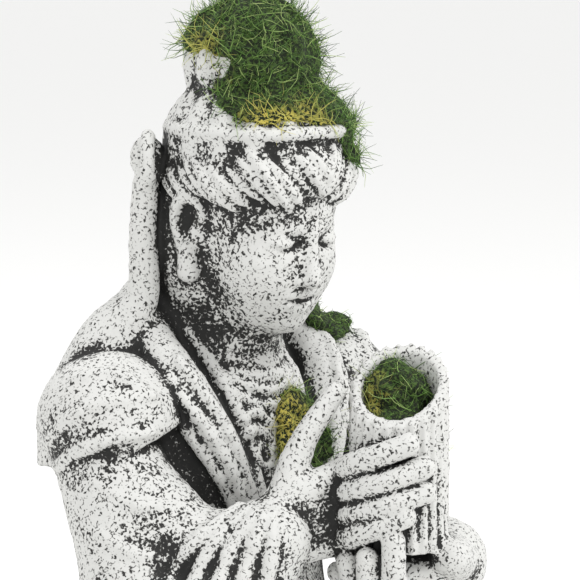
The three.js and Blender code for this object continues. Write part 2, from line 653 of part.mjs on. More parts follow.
// The place that fits a vertex's planes best, if it is near the middle of its edge.
function flattest(q, middle, length2) {
  const rows = [[q[0], q[1], q[2]], [q[1], q[4], q[5]], [q[2], q[5], q[7]]];
  const sides = [cross(rows[1], rows[2]), cross(rows[2], rows[0]), cross(rows[0], rows[1])];
  const volume = dot(rows[0], sides[0]);
  if (Math.abs(volume) < 1e-4 * Math.max(q[0], q[4], q[7]) ** 3) return null;
  const place = [0, 1, 2].map((n) => -(q[3] * sides[0][n] + q[6] * sides[1][n] + q[8] * sides[2][n]) / volume);
  const away = subtract(place, middle);
  return dot(away, away) < length2 ? place : null;
}

// How much the form at a place counts when the surface is thinned: most in the face, hands, cup and hair.
function fineness([x, y, z]) {
  const forward = spineY - y;
  if (z > 112 && z < 160) return forward > 16 ? 8 : 3;
  if (z > 66 && forward > 27 && x > -20) return 5;
  return z > 84 && forward > 4 ? 3 : 1;
}

// Thins a surface by closing the edges that change its form least, by the planes round each vertex.
function thinOut({ points, triangles }, target) {
  const facesOf = points.map(() => new Set());
  const planes = points.map(() => new Float64Array(10));
  const faces = triangles.map((t) => [...t]);
  faces.forEach((face, f) => {
    const [a, b, c] = face.map((v) => points[v]);
    const normal = cross(subtract(b, a), subtract(c, a));
    const area = Math.hypot(...normal) || 1e-12;
    const [x, y, z] = normal.map((value) => value / area);
    const w = -dot([x, y, z], a);
    const terms = [x * x, x * y, x * z, x * w, y * y, y * z, y * w, z * z, z * w, w * w];
    face.forEach((v) => {
      facesOf[v].add(f);
      terms.forEach((term, n) => (planes[v][n] += term * area * fineness(points[v])));
    });
  });
  const error = (q, [x, y, z]) =>
    q[0] * x * x + 2 * (q[1] * x * y + q[2] * x * z + q[3] * x) + q[4] * y * y + 2 * (q[5] * y * z + q[6] * y) +
    q[7] * z * z + 2 * q[8] * z + q[9];
  const version = new Int32Array(points.length);
  const heap = new EdgeHeap();
  const offer = (a, b) => {
    const q = planes[a].map((term, n) => term + planes[b][n]);
    const middle = points[a].map((value, axis) => (value + points[b][axis]) / 2);
    const length2 = points[a].reduce((sum, value, axis) => sum + (value - points[b][axis]) ** 2, 0);
    const choices = [points[a], points[b], middle, flattest(q, middle, length2)]
      .filter(Boolean)
      .map((place) => ({ place, cost: error(q, place) }));
    const { place, cost } = choices.reduce((best, next) => (next.cost < best.cost ? next : best));
    heap.push({ a, b, place, cost: cost + 1e-3 * length2, versions: version[a] + version[b] });
  };
  const neighbours = (v) => new Set([...facesOf[v]].flatMap((f) => faces[f]).filter((other) => other !== v));
  points.forEach((_, v) => neighbours(v).forEach((other) => other > v && offer(v, other)));

  // Whether the faces round v would keep their side and their shape if it moved.
  const staysGood = (v, gone, place) =>
    [...facesOf[v]].every((f) => {
      if (faces[f].includes(gone)) return true;
      const old = faces[f].map((n) => points[n]);
      const moved = faces[f].map((n) => (n === v ? place : points[n]));
      const before = cross(subtract(old[1], old[0]), subtract(old[2], old[0]));
      const after = cross(subtract(moved[1], moved[0]), subtract(moved[2], moved[0]));
      const longest = Math.max(...moved.map((p, n) => Math.hypot(...subtract(p, moved[(n + 1) % 3]))));
      return dot(before, after) > 0.3 * Math.hypot(...before) * Math.hypot(...after) &&
        Math.hypot(...after) > 0.05 * longest * longest;
    });

  let left = faces.length;
  while (left > target && heap.edges.length) {
    const { a, b, place, versions } = heap.pop();
    if (!facesOf[a] || !facesOf[b] || versions !== version[a] + version[b]) continue;
    const shared = [...facesOf[a]].filter((f) => facesOf[b].has(f));
    const aroundB = neighbours(b);
    const common = [...neighbours(a)].filter((v) => aroundB.has(v));
    if (shared.length !== 2 || common.length !== 2) continue;
    if (!staysGood(a, b, place) || !staysGood(b, a, place)) continue;
    shared.forEach((f) => {
      faces[f].forEach((v) => facesOf[v].delete(f));
      faces[f] = null;
    });
    facesOf[b].forEach((f) => {
      faces[f] = faces[f].map((v) => (v === b ? a : v));
      facesOf[a].add(f);
    });
    facesOf[b] = null;
    points[a] = place;
    planes[a] = planes[a].map((term, n) => term + planes[b][n]);
    left -= 2;
    const round = neighbours(a);
    version[a]++;
    round.forEach((v) => offer(a, v));
  }
  return { points, triangles: faces.filter(Boolean) };
}

function geometryOf(clay, triangleCount) {
  const { points, triangles } = thinOut(takeSurface(clay), triangleCount);
  const geometry = new THREE.BufferGeometry();
  geometry.setAttribute("position", new THREE.Float32BufferAttribute(points.flat(), 3));
  geometry.setIndex(triangles.flat());
  geometry.computeVertexNormals();
  return geometry;
}

const stone = new THREE.MeshStandardMaterial({ color: 0x8f8f8b, roughness: 0.85, metalness: 0 });
const moss = new THREE.MeshStandardMaterial({ color: 0x4c6b23, roughness: 0.95, metalness: 0 });

function named(name, geometry, material) {
  const mesh = new THREE.Mesh(geometry, material.clone());
  mesh.name = name;
  return mesh;
}

// Where moss grows, how thick, how far off the figure it stays, and how many triangles it is thinned to.
const mossPatches = {
  moss_on_head: {
    thickness: 3.8,
    gap: 1.4,
    triangles: 600,
    patches: [
      lump(at(-1, 12, 174), [14, 14, 13]),
      lump(at(3, 19, 164), [15, 14, 13]),
      lump(at(-8, 22, 161), [11, 9, 8.5]),
      lump(at(6, 25, 158), [14, 10, 7]),
      lump(at(13, 27, 151), [7, 8, 7]),
    ],
  },
  moss_on_chest: { thickness: 2.8, gap: 0.8, triangles: 140, patches: [lump(at(5, 20, 95), [6, 9, 9])] },
  moss_on_shoulder: { thickness: 3, gap: 0.8, triangles: 140, patches: [lump(at(25, 6, 117), [8, 8, 7])] },
  moss_in_cup: { thickness: 9, gap: 0.8, triangles: 220, patches: [lump(at(3.8, 48, 100), [9.6, 9.6, 8])] },
};

const figure = sculptFigure();
const ornament = new THREE.Group();
ornament.add(named("figure", geometryOf(figure, figureTriangles), stone));
for (const [name, patch] of Object.entries(mossPatches))
  ornament.add(named(name, geometryOf(growMoss(figure, patch), patch.triangles), moss));

export default ornament;
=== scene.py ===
import math
from collections import namedtuple

import bpy
import numpy as np
import openvdb
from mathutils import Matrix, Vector


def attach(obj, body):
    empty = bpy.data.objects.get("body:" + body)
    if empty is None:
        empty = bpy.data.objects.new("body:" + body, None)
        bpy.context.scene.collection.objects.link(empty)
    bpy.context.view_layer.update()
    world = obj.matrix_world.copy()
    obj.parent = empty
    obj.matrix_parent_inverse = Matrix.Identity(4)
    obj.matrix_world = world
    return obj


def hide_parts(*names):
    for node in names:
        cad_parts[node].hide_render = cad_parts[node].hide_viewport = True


# A seated bodhisattva in weathered, stone-look cast resin, with moss growing on it.
# It is sculpted like clay: rounded lumps and strands are pressed together in a grid of distances to the
# surface, which is then taken off the grid as one mesh. Sculpting sizes are in millimetres, as in the CAD:
# x is the figure's left, it faces -y, and z is up. Everything is turned to metres when it becomes a mesh.

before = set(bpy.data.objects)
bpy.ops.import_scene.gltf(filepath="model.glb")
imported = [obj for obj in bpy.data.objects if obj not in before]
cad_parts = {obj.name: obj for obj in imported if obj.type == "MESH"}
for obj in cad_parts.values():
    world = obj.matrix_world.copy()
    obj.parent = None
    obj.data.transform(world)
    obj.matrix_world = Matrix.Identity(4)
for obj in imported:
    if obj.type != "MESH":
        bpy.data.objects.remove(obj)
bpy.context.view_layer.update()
toMetres = 0.001

clayGrid = {"cell": 0.55, "margin": 3, "height": 187}
cell = clayGrid["cell"]

figureBase = {"halfWidth": 58, "halfDepth": 49, "height": 12, "stepHeight": 5.5, "step": 2.5}
spineY = 12  # the spine stands this far behind the middle of the base
shoulder = {"side": 29, "height": 99, "radius": 11.5}
elbow = {"side": 36, "forward": 21, "height": 54}
head = {"forward": 13, "height": 137, "pitch": math.radians(13)}
hairRoll = {"halfWidth": 14.2, "halfDepth": 15.2, "height": 147.6, "thick": 4.2, "tall": 5.6}
crownRim = {"halfWidth": 17.2, "halfDepth": 17.4, "height": 156, "thick": 1.3, "tall": 1.4}
topknot = {"forward": 11, "height": 168, "radius": 13}
cup = {"side": 5, "forward": 47, "bottom": 76, "radius": 9.4, "wall": 2, "floor": 92, "flutes": 24}
fingerRadius = 2.55


def at(side, forward, up):  # from the figure's own side: to its left, forward of its spine, and up
    return np.array([side, spineY - forward, up], float)


headTurn = np.array([
    [1, 0, 0],
    [0, math.cos(head["pitch"]), -math.sin(head["pitch"])],
    [0, math.sin(head["pitch"]), math.cos(head["pitch"])],
])


def inHead(side, forward, up):  # a point in the bowed head, from its centre
    return headTurn @ np.array([side, -forward, up]) + at(0, head["forward"], head["height"])


def mix(a, b, share):
    return a + (b - a) * share


def soften(a, b, blend):  # how far the bottom of a rounded crease between two surfaces is lifted
    return np.maximum(blend - np.abs(a - b), 0) ** 2 / (4 * blend)


Shape = namedtuple("Shape", "box distance")


class Clay:  # a grid of distances to a surface, negative inside it
    def __init__(self, low, value):
        self.low = low
        self.value = value
        self.size = np.array(value.shape)

    def part(self, box, reach):
        first = np.clip(((box[0] - reach - self.low) / cell).astype(int), 0, self.size)
        last = np.clip(((box[1] + reach - self.low) / cell).astype(int) + 2, 0, self.size)
        x, y, z = (
            (self.low[axis] + cell * np.arange(first[axis], last[axis])).astype(np.float32)
            for axis in range(3)
        )
        place = tuple(slice(a, b) for a, b in zip(first, last))
        return place, x[:, None, None], y[None, :, None], z[None, None, :]

    def add(self, shape, blend=0.2):
        place, x, y, z = self.part(shape.box, blend + 3)
        old, made = self.value[place], shape.distance(x, y, z)
        self.value[place] = np.minimum(old, made) - soften(old, made, blend)

    def carve(self, shape, blend=0.2):
        place, x, y, z = self.part(shape.box, blend + 2)
        old, cut = self.value[place], -shape.distance(x, y, z)
        self.value[place] = np.maximum(old, cut) + soften(old, cut, blend)

    # Where the surface is first met by looking level at the spine from an azimuth: 0 is from the front, and
    # -45 from the figure's front right. The places in that view are given across and up, from the spine.
    def seen(self, azimuth, places, sunk):
        turn = math.radians(azimuth)
        towards = np.array([math.sin(turn), -math.cos(turn), 0])
        right = np.array([math.cos(turn), math.sin(turn), 0])
        middle = np.array([at(0, 0, up) + across * right for across, up in places])
        near = np.arange(70, -50, -cell / 2)
        rays = middle[:, None] + near[None, :, None] * towards
        distance = sample(self.value, self.low, rays, 50)
        met = np.argmax(distance < 0, axis=1)
        rows = np.arange(len(places))
        surface = rays[rows, met] + (distance[rows, met] - sunk)[:, None] * towards
        return np.where((distance[rows, met] < 0)[:, None], surface, middle)


# Values between a grid's points.
def sample(grid, low, points, outside=0.0):
    place = (points - low) / cell
    inside = np.all((place >= 0) & (place < np.array(grid.shape) - 1), axis=-1)
    place = np.where(inside[..., None], place, 0)
    whole = place.astype(int)
    share = place - whole
    total = np.zeros(inside.shape)
    for corner in range(8):
        step = np.array([corner & 1, corner >> 1 & 1, corner >> 2])
        weight = np.prod(np.where(step == 1, share, 1 - share), axis=-1)
        total += weight * grid[tuple(np.moveaxis(whole + step, -1, 0))]
    return np.where(inside, total, outside)


# An ellipsoid with radii to its side, forward and up.
def lump(centre, radii, turn=np.eye(3)):
    reach = max(radii)

    def distance(x, y, z):
        away = (x - centre[0], y - centre[1], z - centre[2])
        own = [sum(turn[b, a] * away[b] for b in range(3) if turn[b, a]) for a in range(3)]
        near = np.sqrt(sum((p / r) ** 2 for p, r in zip(own, radii)))
        slope = np.sqrt(sum((p / r**2) ** 2 for p, r in zip(own, radii)))
        return near * (near - 1) / np.maximum(slope, 1e-3) - 1e-3 * (near < 1e-2)

    return Shape((centre - reach, centre + reach), distance)


# A round strand through all of its points, with a radius at each of a few places spread evenly along it.
def strandThrough(points, radii):
    points = np.array(points)
    places = np.linspace(0, 1, len(points))
    radius = np.interp(places, np.linspace(0, 1, len(radii)), radii)
    margin = 9

    def distance(x, y, z):
        nearest = np.full((x.size, y.size, z.size), 30, np.float32)
        for start, end, thick, thin in zip(points, points[1:], radius, radius[1:]):
            reach = max(thick, thin) + margin
            near = []
            for axis, line in enumerate((x, y, z)):
                low = min(start[axis], end[axis]) - reach
                high = max(start[axis], end[axis]) + reach
                near.append(slice(*np.searchsorted(line.ravel(), [low, high])))
            along = end - start
            px, py, pz = (
                x[near[0]] - start[0],
                y[:, near[1]] - start[1],
                z[:, :, near[2]] - start[2],
            )
            t = (px * along[0] + py * along[1] + pz * along[2]) / max(along @ along, 1e-9)
            t = np.clip(t, 0, 1)
            away = (px - t * along[0]) ** 2 + (py - t * along[1]) ** 2 + (pz - t * along[2]) ** 2
            made = np.sqrt(away) - thick - t * (thin - thick)
            nearest[tuple(near)] = np.minimum(nearest[tuple(near)], made)
        return nearest

    return Shape((points.min(0) - max(radii), points.max(0) + max(radii)), distance)


# Points along a smooth curve through a few places.
def smoothLine(places, steps):
    p = np.array(places, float)
    if len(p) == 2:
        return p
    p = np.vstack([2 * p[0] - p[1], p, 2 * p[-1] - p[-2]])
    line = []
    for n in range(1, len(p) - 2):
        gaps = [max(np.linalg.norm(b - a), 1e-4) ** 0.5 for a, b in zip(p[n - 1 : n + 2], p[n : n + 3])]
        before, here, after = gaps
        leave = (p[n] - p[n - 1]) / before - (p[n + 1] - p[n - 1]) / (before + here) + (p[n + 1] - p[n]) / here
        reach = (p[n + 1] - p[n]) / here - (p[n + 2] - p[n]) / (here + after) + (p[n + 2] - p[n + 1]) / after
        for t in np.arange(steps) / steps:
            rise = t * t * (3 - 2 * t)
            line.append(
                mix(p[n], p[n + 1], rise) + here * (t * (1 - t) ** 2 * leave - t * t * (1 - t) * reach)
            )
    return np.array(line + [p[-2]])


def strand(points, radii):
    return strandThrough(smoothLine(points, 5), radii)


# A strand that lies on the clay, drawn as it is seen from an azimuth. Each place is [across, up].
def drawn(clay, azimuth, places, radii, sunk=0.3):
    return strandThrough(clay.seen(azimuth, smoothLine(places, 7), sunk), radii)


# Places spread between two drawn lines, for each of a number of folds.
def between(first, last, share):
    return mix(np.array(first, float), np.array(last, float), share)


# The same line seen in a mirror: from the other side, and the other way across.
def mirrored(side, places):
    return [[-side * across, up] for across, up in places]


# An oval slab with rounded edges.
def ovalSlab(halfWidth, halfDepth, low, high, edge):
    half = (high - low) / 2

    def distance(x, y, z):
        near = np.hypot(x / halfWidth, y / halfDepth)
        slope = np.maximum(np.hypot(x / halfWidth**2, y / halfDepth**2), 1e-9)
        out = np.maximum(near * (near - 1) / slope, -halfDepth) + edge
        over = np.abs(z - (low + high) / 2) - half + edge
        return np.minimum(np.maximum(out, over), 0) + np.hypot(np.maximum(out, 0), np.maximum(over, 0)) - edge

    return Shape((np.array([-halfWidth, -halfDepth, low]), np.array([halfWidth, halfDepth, high])), distance)


# A level ring round the head, which may be twisted like a rope from the middle of the brow to each side.
def ring(size, locks=0, bulge=0.0, strands=0, groove=0.0):
    halfWidth, halfDepth, height, thick, tall = size.values()
    centre = at(0, head["forward"], height)
    reach = np.array([halfWidth + thick + 1, halfDepth + thick + 1, tall + 1.5])

    def distance(x, y, z):
        px, py = x - centre[0], y - centre[1]
        turn = np.arctan2(px / halfWidth, -py / halfDepth)
        rope = np.hypot(halfWidth * np.sin(turn), halfDepth * np.cos(turn))
        out = np.hypot(px, py) - rope
        over = (z - height) * thick / tall
        turned = 2 * np.arctan2(over, out) - locks * np.abs(turn)
        return np.hypot(out, over) - thick - bulge * np.cos(turned) - groove * np.cos(strands * turned)

    return Shape((centre - reach, centre + reach), distance)


# A shape cut off below a sloping hem.
def hemmed(shape, heightAt):
    def distance(x, y, z):
        return np.maximum(shape.distance(x, y, z), heightAt(np.abs(x), spineY - y) - z)

    return Shape(shape.box, distance)


# A shape with grooves combed down it from its crown.
def combed(shape, centre, strands, depth):
    def distance(x, y, z):
        groove = depth * np.cos(strands * np.arctan2(y - centre[1], x - centre[0]))
        return shape.distance(x, y, z) - groove

    return Shape(shape.box, distance)


def sculptBase(clay):
    halfWidth, halfDepth, height, stepHeight, step = figureBase.values()
    clay.add(ovalSlab(halfWidth, halfDepth, -5, stepHeight, 1.6))
    clay.add(ovalSlab(halfWidth - step, halfDepth - step, -5, height, 2.2), 1)


def sculptLegs(clay):
    foldsOnShin = 4
    foldsInFront = 3
    clay.add(lump(at(0, 14, 14), [47, 25, 7]), 3)  # the robe spread on the base
    clay.add(lump(at(0, 8, 27), [28, 24, 15]), 4)
    for side in (-1, 1):
        knee = at(side * 41, 24, 22.5)
        clay.add(strand([at(side * 12, 2, 27), at(side * 30, 14, 26), knee], [15, 13.5, 11.5]), 6)
        clay.add(strand([knee, at(side * 22, 35, 21), at(side * -3, 36, 19)], [11, 9, 7]), 5)
        for n in range(foldsOnShin):
            line = [[3, 33 - 5 * n], [16, 34 - 6 * n], [30, 30 - 5 * n], [44, 30 - 4 * n]]
            clay.add(drawn(clay, 0, mirrored(-side, line), [0.5, 1.5, 1.3, 0.5]), 1.6)
        for n in range(foldsInFront):
            line = [[4 + 2 * n, 24], [7 + 7 * n, 17], [9 + 10 * n, 12.5]]
            clay.add(drawn(clay, 0, mirrored(-side, line), [1, 1.7, 1.4]), 1.2)
    clay.add(strand([at(0, 24, 46), at(0, 36, 30), at(0, 42, 14)], [4, 4.6, 7]), 3)  # the sash down the front


def sculptTorso(clay):
    side, height, radius = shoulder.values()
    clay.add(lump(at(0, -1, 30), [27, 20, 17]), 5)
    clay.add(lump(at(0, 2, 54), [26, 18, 24]), 8)
    clay.add(lump(at(0, 2, 84), [28, 18, 26]), 8)
    clay.add(strand([at(-side, -3, height), at(side, -3, height)], [radius, radius]), 8)
    clay.add(strand([at(0, 4, 98), at(0, 8, 122)], [11, 8.6]), 4)
    clay.add(lump(at(0, 11, 99), [13, 6.6, 11]), 3)  # the bared chest between the collar folds
    for up in (106.5, 109.3):
        line = [[across, up + across * across * 0.03] for across in (-7, -3.5, 0, 3.5, 7)]
        clay.add(drawn(clay, 0, line, [0.7, 1.1, 0.7]), 0.8)


# The mantle over the head and shoulders and down the back, and the cape over its front edge.
def sculptMantle(clay):
    backFolds = 3
    clay.add(lump(at(0, -5, 110), [23, 12, 17]), 6)
    clay.add(lump(at(0, -9, 80), [22, 11, 38]), 6)
    clay.add(lump(at(0, -8, 36), [30, 13, 22]), 8)
    for side in (-1, 1):
        over = [[14, -5, 119], [22, -5, 112], [28, -7, 99], [28, -8, 84]]
        fold = strand([at(side * x, forward, up) for x, forward, up in over], [6, 8, 8.8, 9])
        clay.add(hemmed(fold, lambda x, forward: 91 + 0.1 * forward), 0.4)
        for n in range(backFolds):
            line = [[4 + 5 * n, 106 - 3 * n], [6 + 9 * n, 70], [8 + 9 * n, 30]]
            clay.add(drawn(clay, 180, mirrored(side, line), [0.6, 1.8, 1.6]), 1.6)
        clay.add(strand([at(side * 15, -6, 90), at(side * 17, -6, 62), at(side * 21, -3, 34)], [8, 8.6, 10]), 3)


# The collar of the robe: a thick band from the back of the neck to the waist, with folds along it.
def sculptCollar(clay):
    outside = [[-9.6, 104.5], [-3.6, 97], [1.5, 89.5], [5.4, 81]]
    inside = [[-4.6, 115.5], [1.4, 107.5], [6.4, 97.5], [9.8, 85]]
    folds = 4
    for side in (-1, 1):
        band = [[15, -4, 118], [19, 5, 112], [18.4, 12, 105], [15, 15.6, 96], [9.5, 17.5, 84], [5, 18, 74]]
        clay.add(strand([at(side * x, forward, up) for x, forward, up in band], [4, 4.6, 4.6, 4]), 2)
        for n in range(folds):
            line = between(outside, inside, n / (folds - 1))
            clay.add(drawn(clay, side * 45, mirrored(side, line), [1.2, 1.5, 1.3], 0.1), 0.5)


def sculptUpperArms(clay):
    ridges = [
        [[-26, 109], [-18, 110], [-10, 105]],
        [[-31, 97], [-26.4, 102], [-18.4, 105.5], [-11, 106]],
    ]
    for side in (-1, 1):
        end = at(side * elbow["side"], elbow["forward"], elbow["height"])
        clay.add(strand([at(side * 31, 1, 97), at(side * 33, 9.5, 80), end], [10.6, 10.2, 11]), 2)
        cape = lump(at(side * 29, 1.5, 100), [14.3, 14.6, 13])
        clay.add(hemmed(cape, lambda x, forward: 102.2 + 0.32 * (forward - x)), 0.4)
        clay.add(lump(at(side * 33, -4, 90), [4.2, 4.6, 3.2]), 0.8)  # where the hem turns back
        for ridge in ridges:
            clay.add(drawn(clay, side * 45, mirrored(side, ridge), [0.9, 1.5, 0.9]), 1)
        hem = [[-29, 92], [-25, 95.6], [-18.4, 98.4], [-11, 99.2]]
        clay.add(drawn(clay, side * 45, mirrored(side, hem), [1.6, 1.7, 1], 0), 0.8)


def sculptNecklace(clay):
    for low in (101, 104):
        line = [[across, low + across * across * 0.04] for across in (-9, -6, -3, 0, 3, 6, 9)]
        clay.add(drawn(clay, 0, line, [1.1, 1.1]), 0.2)
    for side in (-1, 1):
        curl = [[0.8, 98.6], [1.2, 94], [3.6, 89.4], [6.4, 91.2], [5, 93.8]]
        petals = [[[1.4, 97.4], [5, 100], [9.4, 98.4]], [[2.4, 95.6], [6.4, 97], [9.6, 94.6]]]
        clay.add(drawn(clay, 0, mirrored(-side, curl), [1.1, 1.1]), 0.2)
        for petal in petals:
            clay.add(drawn(clay, 0, mirrored(-side, petal), [1, 1.5, 0.9]), 0.2)


def sculptHead(clay):
    def part(place, radii, blend):
        clay.add(lump(inHead(*place), radii, headTurn), blend)

    part([0, -2, 6], [14.4, 17, 16], 1)
    part([0, 4.5, -4.5], [12.4, 11.2, 14.6], 4)
    part([0, 8, -13], [7.2, 6.4, 5.4], 5)
    for side in (-1, 1):
        part([side * 6.4, 8.6, -6.2], [5.2, 5.4, 6], 4)
    clay.add(lump(at(0, 3, 136), [16.6, 12.5, 24]), 3)  # the veil behind the head
    sculptFace(clay)
    for side in (-1, 1):
        sculptEar(clay, side)


def sculptFace(clay):
    bridge = [inHead(*place) for place in ([0, 14, 4.4], [0, 16, -3.2], [0, 17.2, -6.2])]
    clay.add(strand(bridge, [1, 1.4, 1.9]), 1.6)  # the nose
    for side in (-1, 1):
        brow = [[2, 139.6], [6, 141.2], [10.6, 139.4]]
        lashes = [[2.4, 134.4], [5.8, 133], [9.2, 134]]
        clay.carve(lump(inHead(side * 6, 16.6, 0.8), [4, 3.2, 2.1], headTurn), 1.8)  # the eye socket
        clay.add(lump(inHead(side * 5.8, 11.7, -0.2), [3.8, 3.2, 2.5], headTurn), 0.5)  # the lowered lid
        clay.add(drawn(clay, 0, mirrored(-side, brow), [0.7, 1, 0.6], 0.5), 0.8)
        clay.carve(drawn(clay, 0, mirrored(-side, lashes), [0.4, 0.7, 0.4], 0), 0.3)
        clay.add(lump(inHead(side * 1.9, 15.2, -6.8), [1.3, 1.5, 1.2], headTurn), 0.7)  # a wing of the nose
    upperLip = [[-3.8, 123.3], [-1.3, 124.5], [0, 124.1], [1.3, 124.5], [3.8, 123.3]]
    clay.add(drawn(clay, 0, upperLip, [0.6, 1.1, 0.6]), 0.4)
    clay.add(drawn(clay, 0, [[-3, 121.8], [0, 121], [3, 121.8]], [0.7, 1.3, 0.7]), 0.4)
    clay.carve(drawn(clay, 0, [[-4, 123], [0, 122.6], [4, 123]], [0.4, 0.5, 0.4], 0), 0.2)
    clay.add(lump(inHead(0, 12, -16), [3.4, 2.8, 2.6], headTurn), 2)  # the chin


# A long ear: a curled rim round a hollow, and a lobe that hangs beside the jaw.
def sculptEar(clay, side):
    rim = [[14.2, -1, 1.6], [15.4, -2.4, 5], [16.2, -5.8, 4.4], [16, -6.8, 0], [15.2, -4.6, -5]]
    lobe = [[14.8, -3.6, -5], [14.4, -2.6, -9.6]]
    clay.add(lump(inHead(side * 13.6, -4.2, -0.6), [1.9, 3.4, 6], headTurn), 1)
    clay.add(strand([inHead(side * x, f, up) for x, f, up in rim], [0.9, 1.2, 1.3, 1.2, 1.3]), 0.5)
    clay.add(strand([inHead(side * x, f, up) for x, f, up in lobe], [1.9, 2.3]), 0.8)
    clay.carve(lump(inHead(side * 16.6, -4, 0.8), [2.1, 1.9, 3], headTurn), 0.5)


def sculptHair(clay):
    crown = at(0, head["forward"] - 0.6, 153)
    knot = at(0, topknot["forward"], topknot["height"])
    radius = topknot["radius"]
    clay.add(combed(lump(crown, [18, 18, 14.5]), crown, 16, 0.35), 0.4)
    clay.add(ring(crownRim), 0.6)
    clay.add(ring(hairRoll, locks=9, bulge=0.75, strands=4, groove=0.35), 0.3)
    clay.add(combed(lump(knot, [radius, radius, radius * 0.98]), knot, 12, 0.45), 1.5)


# The veil: folds down the back of the head, and over each ear a knot with a loop, from which it falls.
def sculptVeil(clay):
    for side in (-1, 1):
        for line in ([[2, 154], [4, 136], [8, 118]], [[8, 152], [11, 134], [16, 117]]):
            clay.add(drawn(clay, 180, mirrored(side, line), [0.8, 1.6, 1.2]), 1.2)
        fall = [[18.6, 0.6, 145], [19, 0.4, 134], [19.4, 0, 122], [25, -4, 111]]
        clay.add(strand([at(side * x, forward, up) for x, forward, up in fall], [2.7, 2.8, 3.2, 6]), 1.2)
        clay.add(lump(at(side * 17.4, 0, 150), [3.2, 3.8, 4.6]), 1)
        loop = []
        for n in range(9):
            turn = n * math.pi / 4
            wide = (2.1 + 0.4 * math.cos(turn)) * math.sin(turn)
            loop.append(at(side * (18.8 + wide), 1.6 + wide, 150 - 4.6 * math.cos(turn)))
        clay.add(strand(loop, [1.5, 1.5]), 0.3)


# The forearms in their sleeves, which hang to the lap.
def sculptSleeves(clay):
    folds = 5
    wrists = [
        (-1, at(-17.5, 34, 79), at(-25, 31, 52)),
        (1, at(24, 42, 70), at(27, 34, 48)),
    ]
    creases = [
        [[-22, 90], [-14, 86], [-6, 86]],
        [[-24, 82], [-14, 77], [-7, 76]],
        [[-22, 70], [-14, 67], [-9, 71]],
    ]
    for side, cuff, fall in wrists:
        joint = at(side * elbow["side"], elbow["forward"], elbow["height"])
        clay.add(strand([joint, cuff], [11.4, 6.8]), 3)
        clay.add(strand([at(side * 31, 9, 86), at(side * 26, 23, 77), cuff], [9.6, 8, 6.6]), 3)
        clay.add(strand([cuff, fall, at(side * 31, 29, 36)], [6, 7, 8.6]), 5)
        for line in creases:
            clay.add(drawn(clay, side * 45, mirrored(side, line), [0.6, 1.4, 0.6]), 1)
    for n in range(folds):
        first = [[6, 85.5], [-3, 79], [-9, 68], [-14, 54]]
        last = [[12.4, 85], [12, 78], [9.5, 66], [5, 50]]
        clay.add(drawn(clay, -45, between(first, last, n / (folds - 1)), [1, 1.6, 1.7, 1], 0.2), 0.6)
        other = ([[32, 64], [34, 54], [36, 42]], [[21.5, 63], [21, 54], [23, 42]])
        clay.add(drawn(clay, 0, between(*other, n / (folds - 1)), [0.9, 1.5, 1]), 0.8)


# A point on the cup, by its angle from the front towards the figure's right, its height, and how far out.
def roundCup(degrees, up, out):
    turn = math.radians(degrees)
    radius = cup["radius"] + out
    return at(cup["side"] - radius * math.sin(turn), cup["forward"] + radius * math.cos(turn), up)


def cupRim(side, forward):
    return 108 + 0.6 * (side - cup["side"]) - 0.4 * (forward - cup["forward"])


def cupShape(radius, low, flutes, depth, cut):
    middle = at(cup["side"], cup["forward"], low)
    reach = radius + depth

    def distance(x, y, z):
        px, py = x - middle[0], y - middle[1]
        out = np.hypot(px, py) - radius - depth * np.abs(np.cos(flutes / 2 * np.arctan2(py, px)))
        top = (z - cupRim(x, spineY - y)) * 0.81 if cut else -1
        return np.maximum(np.maximum(out, low - z), top)

    return Shape((middle - [reach, reach, 0], middle + [reach, reach, 45]), distance)


def sculptCup(clay):
    clay.add(cupShape(cup["radius"] - 0.6, cup["bottom"], cup["flutes"], 0.9, True), 0.2)
    clay.carve(cupShape(cup["radius"] - cup["wall"], cup["floor"], 0, 0, False), 0.3)


def sculptHands(clay):
    # The right hand: its back and thumb beside the cup, and four fingers round the near side of it.
    fingers = [(91.3, 98.2, 38, 84), (86.7, 93.4, 23, 81.5), (82.2, 88.7, 21, 79), (77.8, 84.2, 41, 76.5)]
    for knuckle, tip, reach, wrist in fingers:
        bend = [
            roundCup(mix(122, reach, along), mix(knuckle, tip, along), fingerRadius - 0.5)
            for along in (0, 1 / 3, 2 / 3, 1)
        ]
        back = [at(-16, 34, wrist), at(-10.5, 37.2, mix(wrist, knuckle, 0.5)), bend[0]]
        clay.add(strand(back, [4, 3.6, 2.7]), 1)
        clay.add(strand(bend, [fingerRadius + 0.2, fingerRadius, fingerRadius - 0.3]), 0.15)
    clay.add(strand([at(-13.5, 33.6, 86), at(-9.6, 35.6, 97.5), at(-4.2, 38.6, 106.5)], [3.6, 2.6, 2]), 1.5)
    # The left hand, palm up, under the cup: fingertips curl up beside the foot of the cup, thumb in front.
    clay.add(lump(at(11, 46, 71.5), [11, 8.6, 4.6]), 2)
    clay.add(strand([at(24, 42, 70), at(15, 52.4, 73), at(9.6, 56.6, 74.6)], [5.6, 4.4, 3.7]), 2)
    for degrees, up in ((132, 71), (105, 74.2), (78, 75.6), (52, 79.4)):
        bend = [roundCup(degrees, 70, -5), roundCup(degrees, 70, 0.6), roundCup(degrees, up, 2.2)]
        clay.add(strand(bend, [2.8, 2.6, 2.3]), 0.3)


